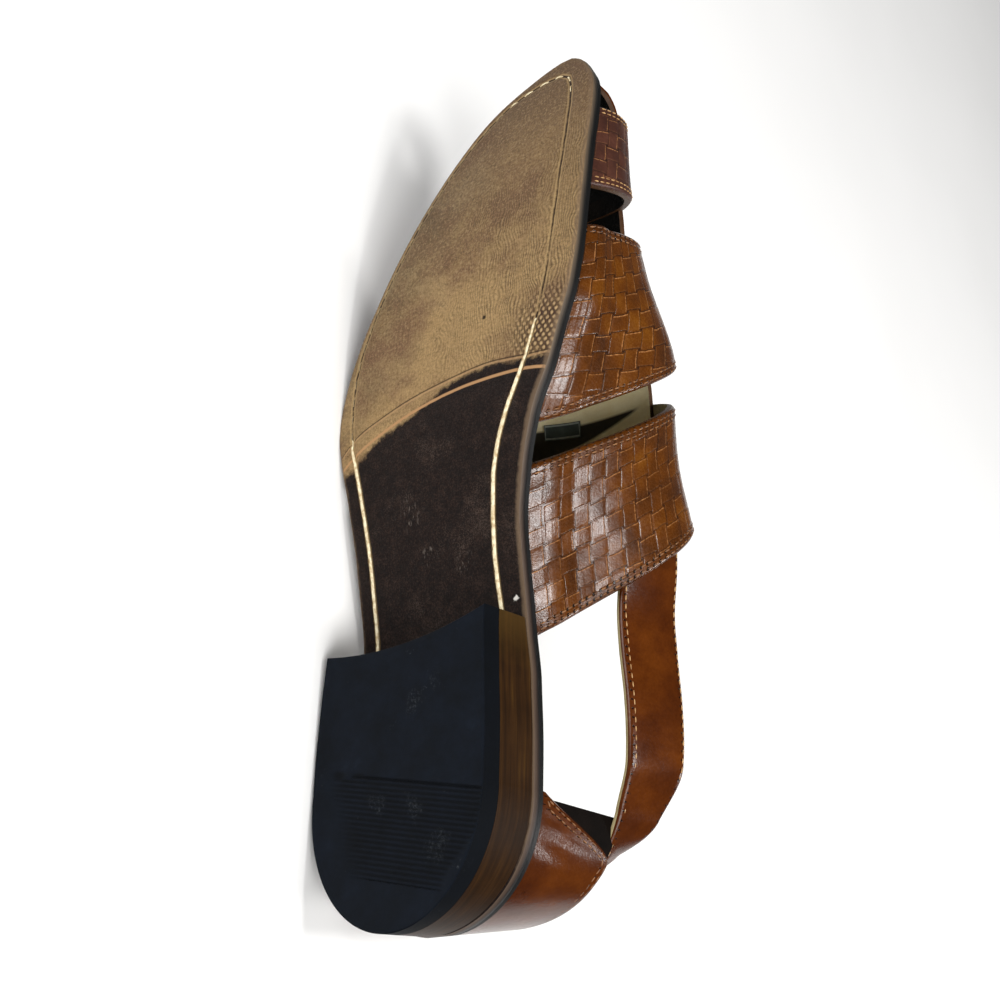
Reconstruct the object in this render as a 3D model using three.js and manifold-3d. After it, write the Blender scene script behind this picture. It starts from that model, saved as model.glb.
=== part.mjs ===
import * as THREE from 'three';
import Module from 'manifold-3d';

const wasm = await Module();
wasm.setup();

// A right-foot fisherman sandal. Millimetres. It is drawn standing, toe along +Y, outer side along +X,
// and then laid on its outer side.

// Sole layers, measured upwards from the tread.
const topLiftThickness = 6.2;
const heelHeight = 19.4;
const outsoleThickness = 3.8;
const midsoleThickness = 2.0;
const insoleThickness = 2.4;
const layerGap = 0.1;
const curvedGap = 0.3;

// Heel seat: half width where the outsole meets the heel, length of the round back, axis skew, taper to the tread.
const heelHalfWidth = 39.1;
const heelRound = 42;
const heelSkew = 0.085;
const heelTurn = 0.061;
const heelTurnEnd = 90;
const heelBackLean = 1.8;
const heelTaper = 0.12;
const breastInner = 98;
const breastOuter = 89;
const breastHollow = 4;

// Edge details.
const edgeBevel = 0.8;
const midsoleInset = 0.7;
const upperInset = 1.3;
const insoleInset = 4.8;

// Upper leather.
const bandWall = 2.6;
const stripWall = 2.2;
const strapWall = 2.2;
const counterWall = 2.3;
const lapOverlap = 0.8;
const upperGap = 0.3;
const archSquareness = 2.5;

// Lying on the outer side: turn about the length, then level the length, in degrees.
const lieRoll = 86.309;
const lieLevel = 4.225;

// Sole outline ahead of the round heel: inner and outer edge at each distance from the heel back.
const outlineRows = [
  { y: 42, inner: -35.5, outer: 42.7 },
  { y: 60, inner: -33.9, outer: 44.2 },
  { y: 80, inner: -31.3, outer: 44.8 },
  { y: 100, inner: -29.2, outer: 44.6 },
  { y: 125, inner: -29.9, outer: 44.7 },
  { y: 145, inner: -33.6, outer: 46.6 },
  { y: 160, inner: -37.8, outer: 49.6 },
  { y: 176, inner: -43.9, outer: 51.9 },
  { y: 190, inner: -47.2, outer: 50.4 },
  { y: 205, inner: -50.8, outer: 46.2 },
  { y: 220, inner: -51.9, outer: 40.4 },
  { y: 240, inner: -51.1, outer: 32.0 },
  { y: 260, inner: -49.2, outer: 22.6 },
  { y: 275, inner: -47.4, outer: 14.6 },
  { y: 287, inner: -44.8, outer: 6.8 },
  { y: 293, inner: -42.4, outer: 1.2 },
  { y: 298, inner: -39.2, outer: -5.4 },
  { y: 302, inner: -36.2, outer: -12.4 },
  { y: 305.2, inner: -32.6, outer: -19.2 },
  { y: 306.8, inner: -29.6, outer: -24.4 },
];

// Underside of the outsole: level heel seat, arched waist, flat ball, toe spring.
const rideRows = [
  { y: 0, z: 19.4 },
  { y: 78, z: 19.4 },
  { y: 95, z: 17.6 },
  { y: 115, z: 12.2 },
  { y: 135, z: 6.4 },
  { y: 152, z: 2.4 },
  { y: 170, z: 0 },
  { y: 205, z: 0 },
  { y: 225, z: 0.6 },
  { y: 245, z: 2.4 },
  { y: 265, z: 5.6 },
  { y: 285, z: 10.0 },
  { y: 306.8, z: 15.8 },
];

// The arch over the foot: crest position and height, and how far each wall swells over the sole edge.
const lastRows = [
  { y: 80, crestX: -4, crestZ: 118, swellInner: 17, swellOuter: 3 },
  { y: 100, crestX: -7, crestZ: 112, swellInner: 21, swellOuter: 3 },
  { y: 125, crestX: -11, crestZ: 102.5, swellInner: 21, swellOuter: 3 },
  { y: 150, crestX: -14, crestZ: 92, swellInner: 16, swellOuter: 3 },
  { y: 175, crestX: -16, crestZ: 81, swellInner: 10, swellOuter: 3 },
  { y: 200, crestX: -18, crestZ: 71.5, swellInner: 8, swellOuter: 4 },
  { y: 225, crestX: -20, crestZ: 55.5, swellInner: 3.5, swellOuter: 5 },
  { y: 250, crestX: -22, crestZ: 44, swellInner: 2, swellOuter: 5 },
  { y: 275, crestX: -24, crestZ: 40, swellInner: 1.5, swellOuter: 4 },
  { y: 288, crestX: -25, crestZ: 39.5, swellInner: 1, swellOuter: 2 },
  { y: 298, crestX: -25, crestZ: 37, swellInner: 0.5, swellOuter: 1 },
  { y: 303, crestX: -25, crestZ: 31.5, swellInner: 0, swellOuter: 0.5 },
  { y: 306.8, crestX: -26, crestZ: 24, swellInner: 0, swellOuter: 0 },
];

// Bands across the foot: front and rear edge at the inner sole edge, at the crest and at the outer sole edge.
const bands = [
  { frontInner: 279, rearInner: 243, frontCrest: 287, rearCrest: 256, frontOuter: 268, rearOuter: 230, flare: 1 },
  { frontInner: 227, rearInner: 159.5, frontCrest: 240, rearCrest: 205, frontOuter: 214, rearOuter: 150, flare: 2.5 },
  { frontInner: 146.5, rearInner: 93.5, frontCrest: 194, rearCrest: 153, frontOuter: 138, rearOuter: 88, flare: 2.5 },
];

// Centre strip under the bands, from the toe tip to the rear band. It widens on the outer side behind the ball.
const stripHalfWidth = 33;
const stripShift = -5;
const stripRear = 160;
const stripFront = 305.6;
const stripBow = 3;
const stripBowMiddle = 248;
const stripBowReach = 20;
const stripFlare = 20;
const stripFlareMiddle = 190;
const stripFlareReach = 42;

// Strap round the heel: station along the heel curve, edge heights, and swing away from the heel curve.
const strapRows = [
  { s: -2.35, low: 51, high: 72, swing: 11, lean: 5 },
  { s: -2.1, low: 51, high: 74, swing: 12.5, lean: 6 },
  { s: -1.85, low: 53, high: 75.5, swing: 14, lean: 6 },
  { s: -1.5, low: 55.5, high: 77, swing: 14.5, lean: 6 },
  { s: -1.2, low: 57.5, high: 78, swing: 12.5, lean: 6 },
  { s: -1.0, low: 59, high: 77, swing: 5, lean: 2 },
  { s: -0.8, low: 60, high: 71, swing: -2.5, lean: -5 },
  { s: -0.6, low: 50, high: 61.5, swing: -0.5, lean: -1 },
  { s: 0, low: 43, high: 59, swing: 0, lean: 0 },
  { s: 0.6, low: 45, high: 60.5, swing: 0, lean: 0 },
  { s: 0.82, low: 49, high: 67, swing: 0, lean: 0 },
  { s: 1.0, low: 52, high: 73, swing: 2, lean: 1 },
  { s: 1.3, low: 54, high: 76, swing: 4, lean: 1.8 },
  { s: 1.7, low: 53, high: 75, swing: 3.5, lean: 1.8 },
  { s: 2.35, low: 51, high: 72, swing: 2.5, lean: 0 },
];

// Heel counter: top edge height along the heel curve, and how far its back leans forward.
const counterRows = [
  { s: -1, top: 28 },
  { s: -0.72, top: 60.5 },
  { s: -0.58, top: 59.5 },
  { s: 0, top: 57.5 },
  { s: 0.6, top: 57 },
  { s: 0.76, top: 57.5 },
  { s: 1, top: 28 },
];
const counterLean = 7;

// Heel lining: a thin inner wall on each side that stands out in front of the slanted edge of the counter.
const liningWall = 1.4;
const liningSink = 1.7;
const liningRear = 0.6;
const liningFront = 0.98;
const liningTopRear = 58.5;
const liningTopFront = { inner: 63.5, outer: 53 };

const sidesReach = 80;

// The strap slides under the rear band between these distances from the heel back.
const strapTuckStart = 98;
const strapTuckEnd = 120;

// Value of every column of a table at a station, on a smooth curve through its rows.
function rowAt(rows, key, at) {
  let i = 0;
  while (i < rows.length - 2 && at > rows[i + 1][key]) i++;
  const slope = (a, b, column) => (rows[b][column] - rows[a][column]) / (rows[b][key] - rows[a][key]);
  const span = rows[i + 1][key] - rows[i][key];
  const t = THREE.MathUtils.clamp((at - rows[i][key]) / span, 0, 1);
  const out = {};
  for (const column of Object.keys(rows[i])) {
    const own = slope(i, i + 1, column);
    const before = i > 0 ? slope(i - 1, i, column) : own;
    const after = i < rows.length - 2 ? slope(i + 1, i + 2, column) : own;
    const m0 = before * own > 0 ? 2 * before * own / (before + own) : 0;
    const m1 = after * own > 0 ? 2 * after * own / (after + own) : 0;
    const h = t * t * (3 - 2 * t);
    const bend = span * (m0 * t * (1 - t) * (1 - t) - m1 * t * t * (1 - t));
    out[column] = rows[i][column] * (1 - h) + rows[i + 1][column] * h + bend;
  }
  return out;
}

function outlineAt(y) {
  if (y >= heelRound) return rowAt(outlineRows, 'y', y);
  const seat = outlineRows[0];
  const half = Math.sqrt(1 - (1 - y / heelRound) ** 2) * (seat.outer - seat.inner) / 2;
  const middle = heelSkew * y;
  return { inner: middle - half, outer: middle + half };
}

const undersideAt = (y) => rowAt(rideRows, 'y', y).z;
const outsoleTopAt = (y) => undersideAt(y) + outsoleThickness;
const seatAt = (y) => outsoleTopAt(y) + layerGap + midsoleThickness;

// The heel seat is turned outwards, fading to nothing along the waist, and its back leans in above the tread.
function turnHeel(point) {
  const fade = 1 - THREE.MathUtils.smoothstep(point.y, heelRound, heelTurnEnd);
  const back = Math.max(0, 1 - point.y / heelRound) ** 2;
  const raised = THREE.MathUtils.clamp(point.z / heelHeight, 0, 1);
  point.y += heelBackLean * back * raised - heelTurn * point.x * fade;
  return point;
}

// Closed solid between two sheets of points, both laid out on the same grid.
function slab(columns, rows, faceA, faceB) {
  const points = [];
  const triangles = [];
  const index = (sheet, i, j) => (sheet * (rows + 1) + j) * (columns + 1) + i;
  for (const face of [faceA, faceB]) {
    for (let j = 0; j <= rows; j++) {
      for (let i = 0; i <= columns; i++) points.push(...turnHeel(face(i, j)).toArray());
    }
  }
  const quad = (a, b, c, d) => triangles.push(a, b, c, a, c, d);
  for (let j = 0; j < rows; j++) {
    for (let i = 0; i < columns; i++) {
      quad(index(0, i, j), index(0, i + 1, j), index(0, i + 1, j + 1), index(0, i, j + 1));
      quad(index(1, i, j), index(1, i, j + 1), index(1, i + 1, j + 1), index(1, i + 1, j));
    }
  }
  for (let i = 0; i < columns; i++) {
    quad(index(0, i + 1, 0), index(0, i, 0), index(1, i, 0), index(1, i + 1, 0));
    quad(index(0, i, rows), index(0, i + 1, rows), index(1, i + 1, rows), index(1, i, rows));
  }
  for (let j = 0; j < rows; j++) {
    quad(index(0, 0, j), index(0, 0, j + 1), index(1, 0, j + 1), index(1, 0, j));
    quad(index(0, columns, j + 1), index(0, columns, j), index(1, columns, j), index(1, columns, j + 1));
  }
  return { points, triangles };
}

function toManifold({ points, triangles }) {
  const mesh = (order) => new wasm.Mesh({
    numProp: 3,
    vertProperties: new Float32Array(points),
    triVerts: new Uint32Array(order),
  });
  const solid = new wasm.Manifold(mesh(triangles));
  if (solid.volume() > 0) return solid;
  const turned = [];
  for (let k = 0; k < triangles.length; k += 3) turned.push(triangles[k], triangles[k + 2], triangles[k + 1]);
  return new wasm.Manifold(mesh(turned));
}

function toMesh(solid, name, material) {
  const { vertProperties, triVerts, numProp } = solid.getMesh();
  const position = [];
  for (let k = 0; k < vertProperties.length; k += numProp) {
    position.push(vertProperties[k], vertProperties[k + 1], vertProperties[k + 2]);
  }
  const geometry = new THREE.BufferGeometry();
  geometry.setAttribute('position', new THREE.Float32BufferAttribute(position, 3));
  geometry.setIndex(Array.from(triVerts));
  const mesh = new THREE.Mesh(geometry, material);
  mesh.name = name;
  return mesh;
}

// Stations along the sole, closer together where the ends turn.
function soleStations(end) {
  const stations = [0.35, 1.3, 3, 6, 10, 15.5, 22.5, 31, 42];
  for (let y = 52; y < 282; y += 9) stations.push(y);
  for (const row of outlineRows) if (row.y > 280) stations.push(row.y);
  return stations.filter((y) => y <= end);
}

// Point of the sole edge moved in square to the edge; side is -1 for the inner edge and 1 for the outer.
function edgePoint(y, side, inset) {
  const x = (at) => (side < 0 ? outlineAt(at).inner : outlineAt(at).outer);
  const step = 0.1;
  const high = Math.min(y + step, outlineRows[outlineRows.length - 1].y);
  const run = new THREE.Vector2(x(high) - x(y - step), high - y + step).normalize();
  return new THREE.Vector2(x(y) - side * run.y * inset, y + side * run.x * inset);
}

// A layer of the sole between two heights, inside the outline by an inset, with an optional lower bevel.
function soleLayer(inset, columns, lower, upper, bevel) {
  const stations = soleStations(400);
  const last = stations.length - 1;
  const face = (height, extra) => (i, j) => {
    const onRim = i === 0 || i === columns || j === 0 || j === last;
    const edge = inset + (onRim ? 0 : extra);
    const p = edgePoint(stations[j], -1, edge).lerp(edgePoint(stations[j], 1, edge), i / columns);
    return new THREE.Vector3(p.x, p.y, height(p.y) + (onRim ? extra : 0));
  };
  return toManifold(slab(columns, last, face(lower, bevel), face(upper, 0)));
}

// A layer of the heel between two heights, tapering to the tread, with the hollow slanted breast in front.
function heelLayer(columns, lower, upper) {
  const stations = soleStations(88);
  const last = stations.length - 1;
  const breast = (u) => THREE.MathUtils.lerp(breastInner, breastOuter, u) - breastHollow * 4 * u * (1 - u);
  const face = (height) => (i, j) => {
    const u = i / columns;
    const stretch = Math.max(0, stations[j] - heelRound) / (stations[last] - heelRound);
    const y = THREE.MathUtils.lerp(Math.min(stations[j], heelRound), breast(u), stretch);
    const z = height(y);
    const inset = Math.max(0, heelHeight - z) * heelTaper;
    const { inner, outer } = outlineAt(y);
    const middle = (inner + outer) / 2;
    const narrow = 1 - inset / heelHalfWidth;
    return new THREE.Vector3(middle + (THREE.MathUtils.lerp(inner, outer, u) - middle) * narrow, y, z);
  };
  return toManifold(slab(columns, last, face(lower), face(upper)));
}

// Point of the arch over the foot at a distance from the heel and an angle from the inner to the outer sole edge.
function archPoint(y, angle) {
  const { inner, outer } = outlineAt(y);
  const { crestX, crestZ, swellInner, swellOuter } = rowAt(lastRows, 'y', y);
  const base = seatAt(y) + upperGap;
  const lift = Math.sin(angle) ** (2 / archSquareness);
  const reach = Math.abs(Math.cos(angle)) ** (2 / archSquareness);
  const swell = Math.abs(Math.sin(2 * angle));
  const inward = upperInset + bandWall;
  const x = angle < Math.PI / 2
    ? crestX - (crestX - inner - inward) * reach - swellInner * swell
    : crestX + (outer - inward - crestX) * reach + swellOuter * swell;
  return new THREE.Vector3(x, y, base + (crestZ - base) * lift);
}

function archNormal(y, angle) {
  const step = 0.01;
  const clamped = THREE.MathUtils.clamp(angle, step, Math.PI - step);
  const round = archPoint(y, clamped + step).sub(archPoint(y, clamped - step));
  const along = archPoint(y + 0.5, clamped).sub(archPoint(y - 0.5, clamped));
  return round.cross(along).normalize();
}

const archOffset = (y, angle, offset) => archPoint(y, angle).addScaledVector(archNormal(y, angle), offset);

// Point of the arch at a height on the inner or outer side, moved out by an offset.
function archAtHeight(y, height, side, offset) {
  const base = seatAt(y) + upperGap;
  const lift = THREE.MathUtils.clamp((height - base) / (rowAt(lastRows, 'y', y).crestZ - base), 0, 1);
  const angle = Math.asin(lift ** (archSquareness / 2));
  return archOffset(y, side < 0 ? angle : Math.PI - angle, offset);
}

function bandSolid(band) {
  const columns = 4;
  const rows = 30;
  const edgeAt = (inner, crest, outer, angle) => {
    const lift = Math.sin(angle) ** (2 / archSquareness);
    const foot = angle < Math.PI / 2 ? inner : outer;
    return foot + (crest - foot) * lift;
  };
  const face = (offset) => (i, j) => {
    const angle = Math.PI * j / rows;
    const u = i / columns;
    const front = edgeAt(band.frontInner, band.frontCrest, band.frontOuter, angle);
    const rear = edgeAt(band.rearInner, band.rearCrest, band.rearOuter, angle);
    const y = THREE.MathUtils.lerp(rear, front, u);
    const flare = band.flare * (1 - u) ** 2 * Math.sin(angle) ** 4;
    const point = archOffset(y, angle, offset + flare);
    point.z = Math.max(point.z, seatAt(point.y) + upperGap);
    return point;
  };
  return toManifold(slab(columns, rows, face(bandWall), face(0)));
}

function stripSolid() {
  const columns = 6;
  const rows = 34;
  const face = (offset) => (i, j) => {
    const y = THREE.MathUtils.lerp(stripRear, stripFront, j / rows);
    const step = 0.02;
    const girth = archPoint(y, Math.PI / 2 + step).distanceTo(archPoint(y, Math.PI / 2 - step)) / (2 * step);
    const spread = Math.min(stripHalfWidth / girth, 1.15);
    const shift = Math.max(stripShift / girth, -0.2);
    const flare = (stripFlare / girth) * Math.max(0, 1 - ((y - stripFlareMiddle) / stripFlareReach) ** 2);
    const angle = Math.PI / 2 - shift + spread * (2 * i / columns - 1) + flare * (i / columns);
    const bow = stripBow * Math.max(0, 1 - ((y - stripBowMiddle) / stripBowReach) ** 2);
    const point = archOffset(y, angle, offset + bow);
    point.z = Math.max(point.z, seatAt(point.y) + upperGap + (offset > 0 ? stripWall : 0));
    return point;
  };
  return toManifold(slab(columns, rows, face(lapOverlap), face(lapOverlap - stripWall)));
}

// Plan curve of the heel wall: stations from -1 to 1 round the back, then straight on along the sides.
function heelCurve(s, height) {
  const side = Math.sign(s);
  const turn = Math.min(Math.abs(s), 1) * Math.PI / 2;
  const y = heelRound * (1 - Math.cos(turn)) + Math.max(0, Math.abs(s) - 1) * sidesReach;
  const rise = (height - seatAt(0)) / 33;
  const { inner, outer } = outlineAt(Math.max(y, heelRound));
  const half = (outer - inner) / 2 - upperInset + 1.2 * rise;
  const middle = y < heelRound ? heelSkew * y : (outer + inner) / 2;
  const lean = counterLean * rise * Math.cos(turn) ** 2;
  return new THREE.Vector3(middle + side * half * Math.sin(turn), y + lean + 1.2, height);
}

function heelNormal(s, height) {
  const step = 0.02;
  const along = heelCurve(s + step, height).sub(heelCurve(s - step, height));
  return new THREE.Vector3(along.y, -along.x, 0).normalize();
}

function counterSolid() {
  const columns = 28;
  const rows = 5;
  const face = (offset) => (i, j) => {
    const s = 2 * i / columns - 1;
    const { top } = rowAt(counterRows, 's', s);
    const base = seatAt(heelCurve(s, 30).y) + upperGap;
    const height = THREE.MathUtils.lerp(base, top, j / rows);
    return heelCurve(s, height).addScaledVector(heelNormal(s, height), -offset);
  };
  return toManifold(slab(columns, rows, face(0), face(counterWall)));
}

function liningSolid(side) {
  const columns = 8;
  const rows = 4;
  const face = (offset) => (i, j) => {
    const s = side * THREE.MathUtils.lerp(liningRear, liningFront, i / columns);
    const base = seatAt(heelCurve(s, 30).y) + upperGap;
    const front = side < 0 ? liningTopFront.inner : liningTopFront.outer;
    const top = THREE.MathUtils.lerp(liningTopRear, front, i / columns);
    const height = THREE.MathUtils.lerp(base, top, j / rows);
    return heelCurve(s, height).addScaledVector(heelNormal(s, height), -offset);
  };
  return toManifold(slab(columns, rows, face(liningSink), face(liningSink + liningWall)));
}

function strapSolid() {
  const columns = 52;
  const rows = 3;
  const reach = strapRows[strapRows.length - 1].s;
  const face = (offset) => (i, j) => {
    const s = reach * (2 * i / columns - 1);
    const { low, high, swing, lean } = rowAt(strapRows, 's', s);
    const v = j / rows;
    const height = THREE.MathUtils.lerp(low, high, v);
    const inside = counterWall - lapOverlap - swing - lean * (v - 0.5);
    const free = heelCurve(s, height).addScaledVector(heelNormal(s, height), -(inside + offset));
    const tuck = THREE.MathUtils.smoothstep(free.y, strapTuckStart, strapTuckEnd);
    const tucked = archAtHeight(free.y, height, s, lapOverlap - offset);
    return free.lerp(tucked, tuck);
  };
  return toManifold(slab(columns, rows, face(0), face(strapWall)));
}

const leather = (color, roughness) => new THREE.MeshStandardMaterial({ color, roughness });

const outsole = soleLayer(0, 6, undersideAt, outsoleTopAt, edgeBevel);
const midsole = soleLayer(midsoleInset, 4, (y) => outsoleTopAt(y) + layerGap, seatAt, 0);
const insole = soleLayer(insoleInset, 4, (y) => seatAt(y) + layerGap, (y) => seatAt(y) + insoleThickness, 0);
const heelBlock = heelLayer(6, () => topLiftThickness + layerGap, (y) => undersideAt(y) - curvedGap);
const topLift = heelLayer(6, () => 0, () => topLiftThickness);

let upper = bandSolid(bands[0]);
for (const band of bands.slice(1)) upper = upper.add(bandSolid(band));
upper = upper.add(stripSolid());
upper = upper.add(counterSolid());
upper = upper.add(liningSolid(-1)).add(liningSolid(1));
upper = upper.add(strapSolid());

const shoe = new THREE.Group();
shoe.add(toMesh(outsole, 'outsole', leather(0x8c7350, 0.75)));
shoe.add(toMesh(midsole, 'midsole', leather(0x0d0f10, 0.6)));
shoe.add(toMesh(insole, 'insole', leather(0x2a2522, 0.7)));
shoe.add(toMesh(heelBlock, 'heel_block', leather(0x503414, 0.55)));
shoe.add(toMesh(topLift, 'top_lift', leather(0x12181f, 0.85)));
shoe.add(toMesh(upper, 'upper', leather(0x7f4310, 0.4)));

shoe.rotation.set(THREE.MathUtils.degToRad(lieLevel), THREE.MathUtils.degToRad(lieRoll), 0, 'XYZ');
const room = new THREE.Box3().setFromObject(shoe, true);
const middle = room.getCenter(new THREE.Vector3());
shoe.position.set(-middle.x, -middle.y, -room.min.z);

const sandal = new THREE.Group();
sandal.name = 'sandal';
sandal.add(shoe);

export default sandal;
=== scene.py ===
import bisect
import math
from functools import lru_cache

import bmesh
import bpy
from bmesh.types import BMEdge, BMFace, BMVert
from mathutils import Matrix, Vector


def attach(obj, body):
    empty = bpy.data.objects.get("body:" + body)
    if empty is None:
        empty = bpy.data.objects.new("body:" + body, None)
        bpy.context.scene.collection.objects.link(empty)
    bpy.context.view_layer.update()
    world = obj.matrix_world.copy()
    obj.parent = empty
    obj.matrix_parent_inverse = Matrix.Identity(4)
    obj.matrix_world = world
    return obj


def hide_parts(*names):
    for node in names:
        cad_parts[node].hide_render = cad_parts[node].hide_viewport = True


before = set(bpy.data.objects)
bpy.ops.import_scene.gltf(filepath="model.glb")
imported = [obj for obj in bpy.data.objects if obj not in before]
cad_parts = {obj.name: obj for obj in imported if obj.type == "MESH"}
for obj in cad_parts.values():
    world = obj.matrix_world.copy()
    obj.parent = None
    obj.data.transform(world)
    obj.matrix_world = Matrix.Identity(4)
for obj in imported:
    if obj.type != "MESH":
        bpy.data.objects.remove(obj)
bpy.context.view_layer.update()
scene = bpy.context.scene
print("frame loaded:", ", ".join(sorted(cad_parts)))

# A right-foot fisherman sandal. Each piece is drawn standing, in millimetres: toe along +y, outer side along +x,
# tread at height 0. Then it is laid on its outer side, in metres.
lying = {"roll": 86.309, "level": 4.225, "place": (-46.07783, -152.19147, 38.50524)}
layDown = (
    Matrix.Scale(0.001, 4)
    @ Matrix.Translation(lying["place"])
    @ Matrix.Rotation(math.radians(lying["level"]), 4, "X")
    @ Matrix.Rotation(math.radians(lying["roll"]), 4, "Y")
)

# heights of the sole layers, sizes of the heel seat and of the upper that stands on them
shoe = {
    "topLift": 6.2, "heelHeight": 19.4, "outsole": 3.8, "midsole": 2.0, "layerGap": 0.1, "seatGap": 0.3,
    "soleEnd": 306.8, "heelRound": 42, "heelHalf": 39.1, "heelSkew": 0.085, "heelTurn": 0.061, "heelTurnEnd": 90,
    "heelBackLean": 1.8, "heelTaper": 0.12, "upperInset": 1.3, "bandWall": 2.6, "squareness": 2.5,
    # the wall round the heel: mm per station past the round, its middle and its rise, and how far it flares and leans
    "sideReach": 80, "wallMiddle": 30, "wallRise": 33, "wallFlare": 1.2, "wallLean": 7, "wallBack": 1.2,
}

# section tables, each looked up by its first column
tables = {
    "outline": {  # sole edge at each distance from the heel back
        "at": [42, 60, 80, 100, 125, 145, 160, 176, 190, 205, 220, 240, 260, 275, 287, 293, 298, 302, 305.2, 306.8],
        "inner": [-35.5, -33.9, -31.3, -29.2, -29.9, -33.6, -37.8, -43.9, -47.2, -50.8, -51.9, -51.1, -49.2, -47.4,
                  -44.8, -42.4, -39.2, -36.2, -32.6, -29.6],
        "outer": [42.7, 44.2, 44.8, 44.6, 44.7, 46.6, 49.6, 51.9, 50.4, 46.2, 40.4, 32.0, 22.6, 14.6, 6.8, 1.2, -5.4,
                  -12.4, -19.2, -24.4],
    },
    "ride": {  # underside: heel seat, waist, ball, toe spring
        "at": [0, 78, 95, 115, 135, 152, 170, 205, 225, 245, 265, 285, 306.8],
        "z": [19.4, 19.4, 17.6, 12.2, 6.4, 2.4, 0, 0, 0.6, 2.4, 5.6, 10.0, 15.8],
    },
    "last": {  # crest of the arch over the foot and the swell of its walls
        "at": [80, 100, 125, 150, 175, 200, 225, 250, 275, 288, 298, 303, 306.8],
        "crestX": [-4, -7, -11, -14, -16, -18, -20, -22, -24, -25, -25, -25, -26],
        "crestZ": [118, 112, 102.5, 92, 81, 71.5, 55.5, 44, 40, 39.5, 37, 31.5, 24],
        "swellInner": [17, 21, 21, 16, 10, 8, 3.5, 2, 1.5, 1, 0.5, 0, 0],
        "swellOuter": [3, 3, 3, 3, 3, 4, 5, 5, 4, 2, 1, 0.5, 0],
    },
    "strap": {  # heel strap: edge heights and its swing and lean away from the heel curve
        "at": [-2.35, -2.1, -1.85, -1.5, -1.2, -1.0, -0.8, -0.6, 0, 0.6, 0.82, 1.0, 1.3, 1.7, 2.35],
        "low": [51, 51, 53, 55.5, 57.5, 59, 60, 50, 43, 45, 49, 52, 54, 53, 51],
        "high": [72, 74, 75.5, 77, 78, 77, 71, 61.5, 59, 60.5, 67, 73, 76, 75, 72],
        "swing": [11, 12.5, 14, 14.5, 12.5, 5, -2.5, -0.5, 0, 0, 0, 2, 4, 3.5, 2.5],
        "lean": [5, 6, 6, 6, 6, 2, -5, -1, 0, 0, 0, 1, 1.8, 1.8, 0],
    },
    "counter": {  # top edge of the heel counter
        "at": [-1, -0.72, -0.58, 0, 0.6, 0.76, 1],
        "top": [28, 60.5, 59.5, 57.5, 57, 57.5, 28],
    },
}


def mixed(a, b, t):
    return a + (b - a) * t


def clamped(t):
    return min(max(t, 0), 1)


def eased(x, low, high):
    t = clamped((x - low) / (high - low))
    return t * t * (3 - 2 * t)


def hump(offset, reach):
    return max(0, 1 - (offset / reach) ** 2)


def spanAt(xs, at):
    # the step of a table that holds a place, its length and the share of it passed
    i = min(max(bisect.bisect_left(xs, at) - 1, 0), len(xs) - 2)
    span = xs[i + 1] - xs[i]
    return i, span, clamped((at - xs[i]) / span)


def bentBetween(a, b, slopeA, slopeB, span, t):
    ease = t * t * (3 - 2 * t)
    return a * (1 - ease) + b * ease + span * (slopeA * t * (1 - t) ** 2 - slopeB * t * t * (1 - t))


@lru_cache(maxsize=None)
def valueAt(tableName, column, at):
    xs, ys = tables[tableName]["at"], tables[tableName][column]
    i, span, t = spanAt(xs, at)
    slopes = [(ys[k + 1] - ys[k]) / (xs[k + 1] - xs[k]) for k in range(len(xs) - 1)]
    own, ends = slopes[i], []
    for other in (slopes[max(i - 1, 0)], slopes[min(i + 1, len(slopes) - 1)]):
        ends.append(2 * other * own / (other + own) if other * own > 0 else 0)
    return bentBetween(ys[i], ys[i + 1], *ends, span, t)


def readRow(tableName, column, at):
    return valueAt(tableName, column, round(at, 3))


def outlineAt(y):
    if y >= shoe["heelRound"]:
        return readRow("outline", "inner", y), readRow("outline", "outer", y)
    half = math.sqrt(max(1 - (1 - y / shoe["heelRound"]) ** 2, 0)) * shoe["heelHalf"]
    middle = shoe["heelSkew"] * y
    return middle - half, middle + half


def undersideAt(y):
    return readRow("ride", "z", y)


def seatAt(y):
    return undersideAt(y) + shoe["outsole"] + shoe["layerGap"] + shoe["midsole"]


def baseAt(y):
    return seatAt(y) + shoe["seatGap"]  # foot of the upper, just above the welt


def turnHeel(p):
    fade = 1 - eased(p.y, shoe["heelRound"], shoe["heelTurnEnd"])
    back = max(0, 1 - p.y / shoe["heelRound"]) ** 2
    raised = clamped(p.z / shoe["heelHeight"])
    return Vector((p.x, p.y + shoe["heelBackLean"] * back * raised - shoe["heelTurn"] * p.x * fade, p.z))


@lru_cache(maxsize=None)
def edgePoint(y, side, inset):
    edge = 0 if side < 0 else 1
    high = min(y + 0.1, shoe["soleEnd"])
    run = Vector((outlineAt(high)[edge] - outlineAt(y - 0.1)[edge], high - y + 0.1)).normalized()
    return outlineAt(y)[edge] - side * run.y * inset, y + side * run.x * inset


def archPoint(y, angle):
    inner, outer = outlineAt(y)
    crestX = readRow("last", "crestX", y)
    base = baseAt(y)
    power = 2 / shoe["squareness"]
    lift = max(math.sin(angle), 0) ** power
    reach = abs(math.cos(angle)) ** power
    swell = abs(math.sin(2 * angle))
    inward = shoe["upperInset"] + shoe["bandWall"]
    if angle < math.pi / 2:
        x = crestX - (crestX - inner - inward) * reach - readRow("last", "swellInner", y) * swell
    else:
        x = crestX + (outer - inward - crestX) * reach + readRow("last", "swellOuter", y) * swell
    return Vector((x, y, base + (readRow("last", "crestZ", y) - base) * lift))


def archOut(y, angle):
    roundStep = archPoint(y, angle + 0.01) - archPoint(y, angle - 0.01)
    return roundStep.cross(archPoint(y + 0.5, angle) - archPoint(y - 0.5, angle)).normalized()


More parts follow.
